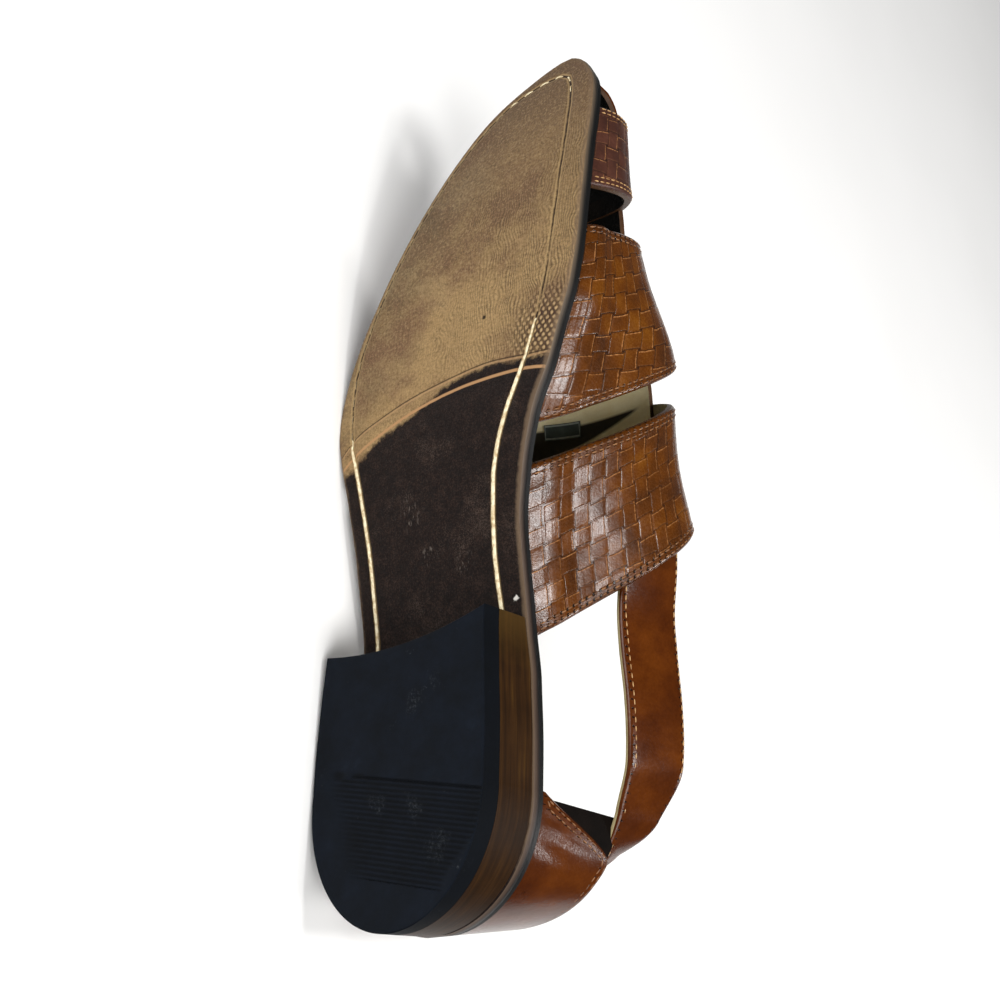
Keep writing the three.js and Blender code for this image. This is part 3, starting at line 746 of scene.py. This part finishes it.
def makeSoleSeam():
    path = []
    for (ax, ay), (bx, by) in zip(outsole["channel"], outsole["channel"][1:]):
        steps = max(round(math.hypot(bx - ax, by - ay) / soleSeam["step"]), 1)
        path += [(mixed(ax, bx, k / steps), mixed(ay, by, k / steps)) for k in range(steps)]
    # rounds the corners of the measured path
    for turn in range(soleSeam["rounding"]):
        path = path[:1] + [((a[0] + 2 * b[0] + c[0]) / 4, (a[1] + 2 * b[1] + c[1]) / 4)
                           for a, b, c in zip(path, path[1:], path[2:])] + path[-1:]
    bm = bmesh.new()
    spoke = bm.verts.layers.int.new("spoke")
    ring = bmesh.ops.create_circle(bm, segments=soleSeam["spokes"], radius=1)["verts"]
    for k, v in enumerate(ring):
        v[spoke] = k
    edges = bm.edges[:]
    run = 0
    for k, (x, y) in enumerate(path):
        ahead, behind = path[min(k + 1, len(path) - 1)], path[max(k - 1, 0)]
        forward = Vector((ahead[0] - behind[0], ahead[1] - behind[1], 0)).normalized()
        run += soleSeam["step"]
        pinch = abs((run / soleSeam["pitch"]) % 1 - 0.5) * soleSeam["pitch"]  # distance from the needle hole
        full = threadWidth(x, y)
        width = max(full * (1 - 0.16 * math.exp(-(pinch / 0.7) ** 2)), soleSeam["thinnest"])
        fine = eased(0.9 - full, 0, 0.3)  # under the forefoot only the middle of each stitch shows
        buried = fine * (0.1 + 0.5 * eased(2.6 - pinch, 0, 1.2))
        sunk = 0.1 + 0.16 * math.exp(-(pinch / 0.6) ** 2) + buried + eased(0.3 - full, 0, 0.2)
        if k:
            grown = bmesh.ops.extrude_edge_only(bm, edges=edges)["geom"]
            ring = only(BMVert, grown)
            edges = [e for e in only(BMEdge, grown) if all(v in ring for v in e.verts)]
        for v in ring:
            angle = v[spoke] * 2 * math.pi / soleSeam["spokes"]
            aside = Vector((-forward.y, forward.x, 0)) * math.cos(angle) * width / 2
            upward = Vector((0, 0, math.sin(angle) * width * soleSeam["flatness"]))
            v.co = Vector((x, y, undersideAt(y) + sunk)) + aside + upward
    bmesh.ops.holes_fill(bm, edges=[e for e in bm.edges if e.is_boundary], sides=0)
    bmesh.ops.recalc_face_normals(bm, faces=bm.faces)
    soiledX, soiledY = soleSeam["soiledFrom"]
    for f in bm.faces:
        centre = f.calc_center_median()
        f.material_index = 1 if centre.y > soiledY and centre.x > soiledX else 0
    finishPiece(bm, "soleSeamThread", [creamThread, soiledThread], "outsole", 180)


makeSoleSeam()

# welt and insole, their edge profiles from the upper face down

welt = {"columns": 24, "rows": 200, "profile": [(0.9, 5.9), (0.62, 5.7), (0.62, 4.1), (0.9, 3.9)]}
insole = {"columns": 40, "rows": 200, "profile": [(5.4, 8.3), (4.8, 8.0), (4.8, 6.2), (5.2, 6.0)]}
finishPiece(layeredSolid(welt), "weltStrip", [blackWelt], "midsole")
finishPiece(layeredSolid(insole), "insoleSock", [sockLeather], "insole")


# heel block and rubber top lift

heel = {
    "columns": 56, "breastInner": 98, "breastOuter": 89, "breastHollow": 4, "straightFrom": 42, "straightTo": 88,
    "middle": (2, 50, 0), "wornCorner": 0.35,
    # dusty scuffs of the rubber: centre and reach
    "scuffs": [((-0.3, 69.5, 0), 5), ((-9.2, 76.8, 0), 3), ((11.4, 39.2, 0), 4), ((-5.6, 36.8, 0), 5),
               ((-17.1, 25.3, 0), 6)],
}
# ribs of the rubber, the first one deepest, and where they end at the front and at the worn back
ribs = {"first": 45.3, "pitch": 1.62, "count": 19, "slope": 0.127, "depth": 0.42, "firstDepth": 1.6, "run": 30,
        "outerEnd": (36, 20), "innerEnd": (-35, -22)}


def heelSheet(zs):
    stations = [0.05, 0.2, 0.45, 0.8, 1.25, 1.8, 2.5, 3.3, 4.2, 5.2, 6.3, 7.5, 8.8, 10.2]
    stations += [10.2 + 0.27 * k for k in range(1, 145)]
    stations += [mixed(stations[-1], heel["straightTo"], k / 24) for k in range(1, 25)]
    start = heel["straightFrom"]

    def place(across, along, level=0):
        station = stations[round(along * (len(stations) - 1))]
        hollow = heel["breastHollow"] * 4 * across * (1 - across)
        breast = mixed(heel["breastInner"], heel["breastOuter"], across) - hollow
        y = mixed(min(station, start), breast, max(0, station - start) / (heel["straightTo"] - start))
        z = zs[level](y)
        narrow = 1 - max(0, shoe["heelHeight"] - z) * shoe["heelTaper"] / shoe["heelHalf"]
        inner, outer = outlineAt(y)
        middle = (inner + outer) / 2
        return turnHeel(Vector((middle + (mixed(inner, outer, across) - middle) * narrow, y, z)))

    return (*sheetOn(heel["columns"], len(stations) - 1, place), place)


def ribDepth(p):
    line = ribs["first"] - (p.y - ribs["slope"] * p.x)
    number = line / ribs["pitch"]
    if number < -0.5 or number > ribs["count"]:
        return 0
    groove = 0.5 + 0.5 * math.cos(number * 2 * math.pi)
    outerEnd = mixed(*ribs["outerEnd"], clamped(line / ribs["run"]))
    innerEnd = mixed(*ribs["innerEnd"], eased(line, 8, ribs["run"]))
    worn = eased(p.x, innerEnd, innerEnd + 3) * (1 - eased(p.x, outerEnd - 10, outerEnd + 2))
    return groove * worn * (ribs["firstDepth"] if number < 0.5 else 1)


def makeHeel():
    low = shoe["topLift"]
    bm, across, along, place = heelSheet([lambda y, z=z: z for z in (0, 0.25, 0.8, 3.2, low - 0.25, low)])
    for v in bm.verts:
        v.co.z += ribs["depth"] * ribDepth(v.co)
    for v in bm.verts:
        if v.is_boundary:
            v.co += (Vector(heel["middle"]) - v.co).normalized() * heel["wornCorner"]
    growBorder(bm, across, along, place, range(1, 6))
    finishPiece(bm, "heelTopLift", [heelRubber], "top_lift")

    bm, across, along, place = heelSheet([
        lambda y: low + 0.1, lambda y: low + 0.4,
        lambda y: mixed(low, undersideAt(y), 0.35), lambda y: mixed(low, undersideAt(y), 0.7),
        lambda y: undersideAt(y) - 0.6, lambda y: undersideAt(y) - 0.3])
    growBorder(bm, across, along, place, range(1, 6))
    finishPiece(bm, "stackedHeelBlock", [stackedLeather], "heel_block")


# stacked heel leather: thin lifts pressed together, stained brown and waxed, so fine streaks run along it
def makeStackedLeather():
    material = newMaterial("stackedHeelLeather", 0.5, 0.1)
    spot = attribute(material, "shoeSpot")
    streak = spot.stretched((0.05, 0.02, 1.0)).cloud(0.9, 6, 0.7)  # lifts about 1 mm thick
    level = spot.cloud(0.05, 3, 0.5) * 0.55 + (streak - 0.22)
    dye = level.dyed([(0.3, "#160B02"), (0.5, "#231304"), (0.66, "#311D08"), (0.85, "#46300F")])
    breast = spot.parts()[1] + spot.cloud(0.1, 4) * 14
    worn = dye.covered([("#4F3914", breast.ranged(88, 112, 0, 0.6))])  # stain rubbed off at the front corner
    return dress(material, worn, streak, 0.3, 0.15)


# vulcanised heel rubber: blue black and matt, with pale dust caught in it
def makeHeelRubber():
    material = newMaterial("vulcanisedHeelRubber", 0.75, 0.08)
    spot = attribute(material, "shoeSpot")
    dye = spot.cloud(0.06, 6, 0.7).dyed([(0.35, "#060A10"), (0.6, "#0A1019"), (0.8, "#131B26")])
    grit, powder = spot.cloud(0.55, 6, 0.8), spot.cloud(0.9, 6, 0.8).ranged(0.5, 0.74, 0, 0.36)
    uneven = spot.cloud(0.2, 4) - 0.5
    layers = [
        ("#7C8288", (grit * spot.cloud(0.09, 2, 0.5)).ranged(0.4, 0.52, 0, 0.35)),
        ("#020304", spot.parts()[2].ranged(0.04, 0.36, 0, 0.6)),  # painted shade: grooves and wall are painted black, darker than the tread
    ]
    for place, size in heel["scuffs"]:
        layers.append(("#666C72", (spot.away(place) + uneven * 16).ranged(0, size, 1, 0) * powder))
    return dress(material, dye.covered(layers), grit, 0.25, 0.2)


stackedLeather = makeStackedLeather()
heelRubber = makeHeelRubber()
makeHeel()

# woven bands across the foot: their feet and crest at the front and rear edge, inner foot first

bandSizes = {"cell": 6.4, "relief": 0.12, "rest": 0.8, "margin": 2.8, "fade": 1.2, "rows": (1.5, 3.3), "pitch": 2.9,
             "mesh": 0.64, "angleSteps": 900, "footReach": 18, "insideX": -18, "insideZ": 22,
             "stitch": (0.7, 0.55, 0.02), "rounding": (0.9, 1.4)}  # gap, width and lift; depth and reach
bands = {
    "toeBand": {"front": (279, 287, 268), "rear": (243, 256, 230), "flare": 1.0, "swell": 0.3,
                "hide": wornCalf, "lining": shadedToeLining, "thread": goldThread},
    "frontBand": {"front": (227, 240, 214), "rear": (159.5, 205, 150), "flare": 2.5, "swell": 1.6,
                  "hide": wovenCalf, "lining": liningHide, "thread": copperThread},
    "rearBand": {"front": (146.5, 194, 138), "rear": (93.5, 153, 88), "flare": 2.5, "swell": 1.0,
                 "hide": wovenCalf, "lining": liningHide, "thread": copperThread},
}


def bandEdge(feet, angle):
    lift = max(math.sin(angle), 0) ** (2 / shoe["squareness"])
    foot = feet[0] if angle < math.pi / 2 else feet[2]
    return foot + (feet[1] - foot) * lift


def weaveAt(a, b):
    # plain weave of flat strips: each strip dips at the ends of its cell, the cuts between them are left to the hide
    i, j = math.floor(a), math.floor(b)
    fromMiddle = b - j - 0.5 if (i + j) % 2 else a - i - 0.5
    return 1 - 0.6 * (2 * abs(fromMiddle)) ** 4


def makeBand(name, band):
    feet, steps, pitch = (band["front"], band["rear"]), bandSizes["angleSteps"], bandSizes["pitch"]
    fineAngles = [math.pi * k / steps for k in range(steps + 1)]
    middle = runLengths([archPoint((bandEdge(feet[0], a) + bandEdge(feet[1], a)) / 2, a) for a in fineAngles])
    rows = round(middle[-1] / bandSizes["mesh"])
    runs = [middle[-1] * k / rows for k in range(rows + 1)]
    angles = [fineAngles[min(bisect.bisect_left(middle, run), steps)] for run in runs]
    edges = [[archPoint(bandEdge(f, a), a) for a in angles] for f in feet]
    edgeRuns = [runLengths(points) for points in edges]
    widths = [(a - b).length for a, b in zip(*edges)]
    columns = round(max(widths) / bandSizes["mesh"] / 1.12)

    def place(across, along):
        angle = angles[round(along * rows)]
        p = archPoint(mixed(bandEdge(feet[1], angle), bandEdge(feet[0], angle), across), angle)
        p.z = max(p.z, baseAt(p.y))
        return p

    def lift(across, row):
        flare = band["flare"] * (1 - across) ** 2 * math.sin(angles[row]) ** 4
        foot = min(runs[row], runs[-1] - runs[row])
        return flare + band["swell"] * math.sin(math.pi * min(foot / bandSizes["footReach"], 1))

    def relief(across, along):
        row = round(along * rows)
        edge = min(across, 1 - across) * widths[row]
        fade = eased(edge, bandSizes["margin"], bandSizes["margin"] + bandSizes["fade"])
        cells = runs[row] / bandSizes["cell"], (across - 0.5) * widths[row] / bandSizes["cell"]
        height = mixed(bandSizes["rest"], weaveAt(*cells), fade) - bandSizes["rest"]
        seamSpot = Vector((edgeRuns[0 if across > 0.5 else 1][row] / pitch, edge, pitch))
        raised = lift(across, row) + bandSizes["relief"] * height - roundedEdge(edge, *bandSizes["rounding"])
        return raised, Vector((*cells, fade)), seamSpot

    def stitchSpot(across, row):
        here = place(across, row / rows)
        sideStep = place(min(across + 0.02, 1), row / rows) - place(max(across - 0.02, 0), row / rows)
        longStep = place(across, (row + 1) / rows) - place(across, (row - 1) / rows)
        out = longStep.cross(sideStep).normalized()
        if out.dot(here - Vector((bandSizes["insideX"], here.y, bandSizes["insideZ"]))) < 0:
            out.negate()
        return here + out * (shoe["bandWall"] + lift(across, row)), out

    leatherSheet(name, columns, rows, place, shoe["bandWall"], relief,
                 (bandSizes["insideX"], place(0.5, 0.5).y, bandSizes["insideZ"]),
                 [band["hide"], band["lining"], paintedEdge])
    paths = []
    for atFront in (True, False):
        for offset in bandSizes["rows"]:
            shares = [(offset / widths[row], row) for row in range(2, rows - 1, 2)]
            paths.append([stitchSpot(1 - share if atFront else share, row) for share, row in shares])
    sewRows(name + "Thread", paths, pitch, *bandSizes["stitch"], band["thread"])


for bandName, bandFacts in bands.items():
    makeBand(bandName, bandFacts)

# centre strip under the bands

strip = {"half": 33, "shift": -5, "rear": 160, "front": 305.6, "wall": 2.2, "lap": 0.8, "columns": 44, "rows": 150,
         "bow": 3, "bowMiddle": 248, "bowReach": 20, "flare": 20, "flareMiddle": 190, "flareReach": 42,
         "rounding": 0.7, "inside": (-20, 10)}
label = {"rear": 188.4, "front": 194.0, "from": 23.4, "to": 47.5, "columns": 60, "rows": 20, "wall": 0.35, "gap": 0.08,
         "border": (0.4, 0.85)}


def stripPoint(y, angle, offset):
    bow = strip["bow"] * hump(y - strip["bowMiddle"], strip["bowReach"])
    p = archPoint(y, angle) + archOut(y, angle) * (strip["lap"] - strip["wall"] + bow + offset)
    p.z = max(p.z, baseAt(p.y))
    return p


def archGirth(y):
    return (archPoint(y, math.pi / 2 + 0.02) - archPoint(y, math.pi / 2 - 0.02)).length / 0.04


def makeStrip():
    def place(across, along):
        y = mixed(strip["rear"], strip["front"], along)
        girth = archGirth(y)
        spread, shift = min(strip["half"] / girth, 1.15), max(strip["shift"] / girth, -0.2)
        flare = strip["flare"] / girth * hump(y - strip["flareMiddle"], strip["flareReach"])
        return stripPoint(y, math.pi / 2 - shift + spread * (2 * across - 1) + flare * across, 0)

    def relief(across, along):
        return -roundedEdge(min(across, 1 - across) * 2 * strip["half"], strip["rounding"]), unwoven, unsewn

    insideX, insideZ = strip["inside"]
    leatherSheet("centreStrip", strip["columns"], strip["rows"], place, strip["wall"], relief,
                 (insideX, place(0.5, 0.5).y, insideZ), [smoothCalf, stripLining, paintedEdge])


# the small label sewn to the strip's lining, left bare
def makeLabel():
    def place(across, along):
        y = mixed(label["rear"], label["front"], along)
        return stripPoint(y, math.pi / 2 + mixed(label["from"], label["to"], across) / archGirth(y), -label["gap"])

    bm, across, along = sheetOn(label["columns"], label["rows"], place)
    bmesh.ops.recalc_face_normals(bm, faces=bm.faces)
    wide, tall = label["to"] - label["from"], label["front"] - label["rear"]
    for f in bm.faces:
        a, b = (sum(v[key] for v in f.verts) / len(f.verts) for key in (across, along))
        inset = min(min(a, 1 - a) * wide, min(b, 1 - b) * tall)
        f.material_index = 1 if label["border"][0] < inset < label["border"][1] else 0
    bmesh.ops.solidify(bm, geom=bm.faces[:], thickness=label["wall"])
    bmesh.ops.recalc_face_normals(bm, faces=bm.faces)
    finishPiece(bm, "sewnLabel", [satinLabel, labelBorder], "upper")


makeStrip()
makeLabel()

# heel counter, with the wear creases of its inner side

counter = {
    "columns": 40, "rows": 170, "wall": 2.3, "pitch": 2.9, "seams": (1.5, 3.3), "stationMm": 55, "inside": (3, 50, 40),
    # creases: station round the heel, share of the height, slope, half width in mm, depth in mm
    "creases": [(-0.88, 0.3, 0.4, 2.2, 0.35), (-0.8, 0.42, 0.9, 1.3, 0.22), (-0.72, 0.25, 1.4, 2.6, 0.3),
                (-0.6, 0.5, 1.0, 1.8, 0.16), (0.8, 0.35, -0.8, 1.5, 0.3)],
    "creaseHeight": 0.28, "stitch": (0.8, 0.5, 0.02), "rounding": 0.8,
}


def makeCounter():
    rows, pitch = counter["rows"], counter["pitch"]

    def place(across, along, distance=-counter["wall"]):
        s = 2 * along - 1
        return turnHeel(heelOut(s, mixed(heelBase(s), readRow("counter", "top", s), across), distance))

    topRun = runLengths([place(1, k / rows) for k in range(rows + 1)])

    def topEdge(across, along):
        # distance to the slanted top edge, measured square to it
        s = 2 * along - 1
        before, top, after = (readRow("counter", "top", at) for at in (max(s - 0.02, -1), s, min(s + 0.02, 1)))
        return (1 - across) * (top - heelBase(s)) / math.hypot(1, (after - before) / (0.04 * counter["stationMm"]))

    def relief(across, along):
        edge = topEdge(across, along)
        dent = 0
        for station, share, slope, half, depth in counter["creases"]:
            off = (2 * along - 1 - station - slope * 0.1 * (across - share)) * counter["stationMm"]
            faded = math.exp(-((across - share) / counter["creaseHeight"]) ** 2)
            dent += depth * math.exp(-(off / half) ** 2) * faded
        seamSpot = Vector((topRun[round(along * rows)] / pitch, edge, pitch))
        return -roundedEdge(edge, counter["rounding"]) - dent, unwoven, seamSpot

    def stitchSpot(offset, along):
        across = 1
        while across > 0.3 and topEdge(across, along) < offset:
            across -= 0.004
        here = place(across, along, 0.0)
        return here, (place(across, along, 1.0) - here).normalized()

    leatherSheet("heelCounter", counter["columns"], rows, place, counter["wall"], relief, counter["inside"],
                 [smoothCalf, liningHide, paintedEdge])
    paths = [[stitchSpot(offset, k / rows) for k in range(3, rows - 2)] for offset in counter["seams"]]
    sewRows("heelCounterThread", paths, pitch, *counter["stitch"], copperThread)


makeCounter()

# heel lining that stands out in front of the slanted counter edge, painted nearly black as painted shade

heelLining = {"wall": 1.4, "sink": 1.7, "rear": 0.6, "front": 0.98, "topRear": 58.5, "topFront": {-1: 63.5, 1: 53},
              "columns": 26, "rows": 30}


def makeHeelLining(side, name):
    def place(across, along):
        s = side * mixed(heelLining["rear"], heelLining["front"], along)
        top = mixed(heelLining["topRear"], heelLining["topFront"][side], along)
        return turnHeel(heelOut(s, mixed(heelBase(s), top, across), -heelLining["sink"] - heelLining["wall"]))

    leatherSheet(name, heelLining["columns"], heelLining["rows"], place, heelLining["wall"],
                 lambda across, along: (0, unwoven, unsewn), counter["inside"], [shadedHeelLining] * 3)


makeHeelLining(-1, "heelLiningInner")
makeHeelLining(1, "heelLiningOuter")

# strap round the heel

strap = {"columns": 24, "rows": 330, "wall": 2.2, "lap": 0.8, "reach": 2.35, "tuck": (98, 120), "pitch": 2.9,
         "row": 1.7, "pad": 0.35, "sink": 0.2, "seamReach": 2.4, "inside": (3, 60, 60), "leastAngle": 0.012,
         "stitch": (0.9, 0.5, 0.05), "rounding": 0.8}


def archAtHeight(y, height, side, offset):
    base = baseAt(y)
    lift = clamped((height - base) / (readRow("last", "crestZ", y) - base))
    angle = math.asin(lift ** (shoe["squareness"] / 2))
    least = strap["leastAngle"]
    angle = min(max(angle if side < 0 else math.pi - angle, least), math.pi - least)
    return archPoint(y, angle) + archOut(y, angle) * offset


def strapPoint(across, along, depth):
    s = strap["reach"] * (2 * along - 1)
    low, high, swing, lean = (readRow("strap", column, s) for column in ("low", "high", "swing", "lean"))
    height = mixed(low, high, across)
    inside = counter["wall"] - strap["lap"] - swing - lean * (across - 0.5)
    free = heelOut(s, height, -(inside + depth))
    tuck = eased(free.y, *strap["tuck"])
    if tuck > 0:
        free = free.lerp(archAtHeight(free.y, height, s, strap["lap"] - depth), tuck)
    return turnHeel(free)


def makeStrap():
    rows, pitch = strap["rows"], strap["pitch"]
    edgeRuns = [runLengths([strapPoint(edge, k / rows, 0) for k in range(rows + 1)]) for edge in (0, 1)]

    def widthAt(along):
        s = strap["reach"] * (2 * along - 1)
        return readRow("strap", "high", s) - readRow("strap", "low", s)

    def relief(across, along):
        edge = min(across, 1 - across) * widthAt(along)
        pad = strap["pad"] * (1 - (2 * across - 1) ** 4)
        run = edgeRuns[0 if across < 0.5 else 1][round(along * rows)] / pitch
        seamSpot = Vector((run, edge if edge < strap["seamReach"] else unsewn.y, pitch))
        return pad - roundedEdge(edge, strap["rounding"]) - strap["sink"], unwoven, seamSpot

    def stitchSpot(high, along):
        share = strap["row"] / widthAt(along)
        across = 1 - share if high else share
        here = strapPoint(across, along, 0)
        out = (here - strapPoint(across, along, 1.0)).normalized()
        return here + out * 0.02, out

    wall = strap["wall"]
    leatherSheet("heelStrap", strap["columns"], rows, lambda a, b: strapPoint(a, b, wall), wall, relief,
                 strap["inside"], [smoothCalf, liningHide, liningHide])
    paths = [[stitchSpot(high, k / rows) for k in range(2, rows - 1)] for high in (False, True)]
    sewRows("heelStrapThread", paths, pitch, *strap["stitch"], goldThread)


makeStrap()
print("upper done")

# floor, light and camera

floorSize = {"half": 4.0}


def makeFloor():
    bm = bmesh.new()
    bmesh.ops.create_grid(bm, x_segments=1, y_segments=1, size=floorSize["half"])
    material = newMaterial("paintedStudioFloor", 0.8)  # matt white paint
    spot = Signal(addNode(material.node_tree, "TexCoord", {}).outputs["Object"])
    dress(material, spot.cloud(6.0, 3, 0.5).dyed([(0.3, "#F8F7F5"), (0.7, "#FCFBF9")]))
    floor = addObject(bm, "studioFloor", [material])


makeFloor()

lights = {
    "glintBox": {"place": (-0.12, -0.2, 1.2), "aim": (0, 0, 0.05), "size": 0.28, "watts": 7.5},
    "counterBox": {"place": (1.08, -0.34, 0.86), "aim": (0, -0.1, 0.05), "size": 0.3, "watts": 6},
    "broadBox": {"place": (-1.25, -1.9, 2.4), "aim": (0.05, 0.05, 0), "size": 1.7, "watts": 70},
    "soleBox": {"place": (-2.4, 0.7, 0.9), "aim": (0, 0, 0.05), "size": 1.4, "watts": 36},
}
for lightName, light in lights.items():
    lamp = bpy.data.lights.new(lightName, "AREA")
    lamp.energy = light["watts"]
    lamp.shape, lamp.size = "DISK", light["size"]
    lampObject = bpy.data.objects.new(lightName, lamp)
    lampObject.location = light["place"]
    lampObject.rotation_euler = (Vector(light["aim"]) - Vector(light["place"])).to_track_quat("-Z", "Y").to_euler()
    scene.collection.objects.link(lampObject)

studioAir = bpy.data.worlds.new("studioAir")
studioAir.use_nodes = True
studioAir.node_tree.nodes["Background"].inputs["Color"].default_value = fromHex("#F4F6FA")
studioAir.node_tree.nodes["Background"].inputs["Strength"].default_value = 0.1
scene.world = studioAir
scene.view_settings.view_transform = "Standard"

view = {"eye": (-350.5, -46.7, -334.8), "aim": (0.1, 147.8, 31.1), "up": (-0.1798, 0.9295, -0.3219), "lens": 57.5}


def makeCamera():
    eye, aim = layDown @ Vector(view["eye"]), layDown @ Vector(view["aim"])
    up = (layDown.to_3x3() @ Vector(view["up"])).normalized()
    back = (eye - aim).normalized()
    right = up.cross(back).normalized()
    turn = Matrix((right, back.cross(right), back)).transposed().to_4x4()
    lens = bpy.data.cameras.new("photoCamera")
    lens.lens = view["lens"]
    lens.clip_start = 0.01
    camera = bpy.data.objects.new("photoCamera", lens)
    camera.matrix_world = Matrix.Translation(eye) @ turn
    scene.collection.objects.link(camera)
    scene.camera = camera


makeCamera()
print("studio ready")
